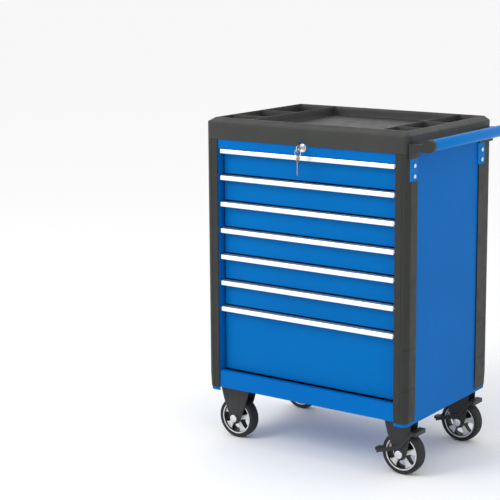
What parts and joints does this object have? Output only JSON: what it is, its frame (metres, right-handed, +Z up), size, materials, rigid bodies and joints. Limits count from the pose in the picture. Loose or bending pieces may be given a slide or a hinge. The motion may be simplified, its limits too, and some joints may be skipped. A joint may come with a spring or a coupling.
{
  "type": "rolling tool box",
  "caption": "Blue steel roller tool cabinet with stacked drawers, full-width grip strips, black top tray with bins and corner posts, side push handle and braked casters.",
  "frame": {"origin": "on the floor, under the middle of the whole object with its handle and key", "axes": "+X to the right of somebody facing the drawers, towards the push handle; +Y towards the back; +Z up"},
  "size_m": [0.7624, 0.523, 0.9811],
  "materials": {
    "blue_paint": "satin powder coat",
    "black_abs": "fine moulded grain",
    "aluminium_strip": "satin anodised",
    "zinc_steel": "zinc plated",
    "black_steel": "black powder coat",
    "bright_steel": "bright zinc",
    "chrome": "polished",
    "key_steel": "nickel plated",
    "tyre": "matt rubber",
    "rim_silver": "silver paint"
  },
  "bodies": {
    "cabinet": {"side_panel_left": "blue_paint", "side_panel_right": "blue_paint", "back_panel": "blue_paint", "base_pan": "blue_paint", "top_rail": "blue_paint", "top_tray": "black_abs", "corner_post_front_left": "black_abs", "corner_post_front_right": "black_abs", "corner_post_rear_left": "black_abs", "corner_post_rear_right": "black_abs", "slide_channels": "zinc_steel", "handle_tube": "blue_paint", "handle_arms": "black_abs", "handle_plates": "blue_paint", "handle_bolts": "zinc_steel", "lock_housing": "chrome", "fixed_forks": "black_steel", "fixed_axles": "bright_steel", "swivel_plates": "zinc_steel", "caster_bolts": "zinc_steel"},
    "drawer_1": {"drawer_box_1": "blue_paint", "drawer_strip_1": "aluminium_strip", "drawer_runners_1": "zinc_steel"},
    "drawer_2": {"drawer_box_2": "blue_paint", "drawer_strip_2": "aluminium_strip", "drawer_runners_2": "zinc_steel"},
    "drawer_3": {"drawer_box_3": "blue_paint", "drawer_strip_3": "aluminium_strip", "drawer_runners_3": "zinc_steel"},
    "drawer_4": {"drawer_box_4": "blue_paint", "drawer_strip_4": "aluminium_strip", "drawer_runners_4": "zinc_steel"},
    "drawer_5": {"drawer_box_5": "blue_paint", "drawer_strip_5": "aluminium_strip", "drawer_runners_5": "zinc_steel"},
    "drawer_6": {"drawer_box_6": "blue_paint", "drawer_strip_6": "aluminium_strip", "drawer_runners_6": "zinc_steel"},
    "drawer_7": {"drawer_box_7": "blue_paint", "drawer_strip_7": "aluminium_strip", "drawer_runners_7": "zinc_steel"},
    "key": {"lock_plug": "chrome", "key": "key_steel"},
    "key_ring": {"key_ring": "chrome"},
    "lock_bar": {"lock_bar": "zinc_steel"},
    "wheel_fixed_front": {"tyre_fixed_front": "tyre", "rim_fixed_front": "rim_silver"},
    "wheel_swivel_front": {"tyre_swivel_front": "tyre", "rim_swivel_front": "rim_silver"},
    "swivel_front": {"swivel_fork_front": "black_steel", "swivel_axle_front": "bright_steel"},
    "brake_front": {"brake_lever_front": "black_steel"},
    "wheel_fixed_rear": {"tyre_fixed_rear": "tyre", "rim_fixed_rear": "rim_silver"},
    "wheel_swivel_rear": {"tyre_swivel_rear": "tyre", "rim_swivel_rear": "rim_silver"},
    "swivel_rear": {"swivel_fork_rear": "black_steel", "swivel_axle_rear": "bright_steel"},
    "brake_rear": {"brake_lever_rear": "black_steel"}
  },
  "joints": [
    {"name": "drawer_1_slide", "type": "slide", "parent": "cabinet", "child": "drawer_1", "axis": [0, -1, 0], "range_m": [0, 0.32]},
    {"name": "drawer_2_slide", "type": "slide", "parent": "cabinet", "child": "drawer_2", "axis": [0, -1, 0], "range_m": [0, 0.32]},
    {"name": "drawer_3_slide", "type": "slide", "parent": "cabinet", "child": "drawer_3", "axis": [0, -1, 0], "range_m": [0, 0.32]},
    {"name": "drawer_4_slide", "type": "slide", "parent": "cabinet", "child": "drawer_4", "axis": [0, -1, 0], "range_m": [0, 0.32]},
    {"name": "drawer_5_slide", "type": "slide", "parent": "cabinet", "child": "drawer_5", "axis": [0, -1, 0], "range_m": [0, 0.32]},
    {"name": "drawer_6_slide", "type": "slide", "parent": "cabinet", "child": "drawer_6", "axis": [0, -1, 0], "range_m": [0, 0.32]},
    {"name": "drawer_7_slide", "type": "slide", "parent": "cabinet", "child": "drawer_7", "axis": [0, -1, 0], "range_m": [0, 0.32]},
    {"name": "key_turn", "type": "hinge", "parent": "cabinet", "child": "key", "pos_m": [-0.03875, -0.2275, 0.9151], "axis": [0, -1, 0], "range_deg": [0, 90]},
    {"name": "key_ring_swing", "type": "hinge", "parent": "key", "child": "key_ring", "pos_m": [-0.03875, -0.25417, 0.9151], "axis": [-1, 0, 0], "range_deg": [-10, 80]},
    {"name": "lock_bar_shift", "type": "slide", "parent": "cabinet", "child": "lock_bar", "axis": [-1, 0, 0], "range_m": [0, 0.012]},
    {"name": "fixed_wheel_front_spin", "type": "hinge", "parent": "cabinet", "child": "wheel_fixed_front", "pos_m": [-0.31875, -0.1605, 0.0625], "axis": [0, 1, 0], "continuous": true},
    {"name": "swivel_front_turn", "type": "hinge", "parent": "cabinet", "child": "swivel_front", "pos_m": [0.23625, -0.1605, 0.1595], "axis": [0, 0, 1], "continuous": true},
    {"name": "swivel_wheel_front_spin", "type": "hinge", "parent": "swivel_front", "child": "wheel_swivel_front", "pos_m": [0.25825, -0.1605, 0.0625], "axis": [0, 1, 0], "continuous": true},
    {"name": "brake_front_press", "type": "hinge", "parent": "swivel_front", "child": "brake_front", "pos_m": [0.25825, -0.1605, 0.0825], "axis": [0, 1, 0], "range_deg": [0, 10]},
    {"name": "fixed_wheel_rear_spin", "type": "hinge", "parent": "cabinet", "child": "wheel_fixed_rear", "pos_m": [-0.31875, 0.1875, 0.0625], "axis": [0, 1, 0], "continuous": true},
    {"name": "swivel_rear_turn", "type": "hinge", "parent": "cabinet", "child": "swivel_rear", "pos_m": [0.23625, 0.1875, 0.1595], "axis": [0, 0, 1], "continuous": true},
    {"name": "swivel_wheel_rear_spin", "type": "hinge", "parent": "swivel_rear", "child": "wheel_swivel_rear", "pos_m": [0.25825, 0.1875, 0.0625], "axis": [0, 1, 0], "continuous": true},
    {"name": "brake_rear_press", "type": "hinge", "parent": "swivel_rear", "child": "brake_rear", "pos_m": [0.25825, 0.1875, 0.0825], "axis": [0, 1, 0], "range_deg": [0, 10]}
  ],
  "couplings": [
    {"joint": "key_turn", "follows": "lock_bar_shift", "rad_per_m": 130.9}
  ]
}
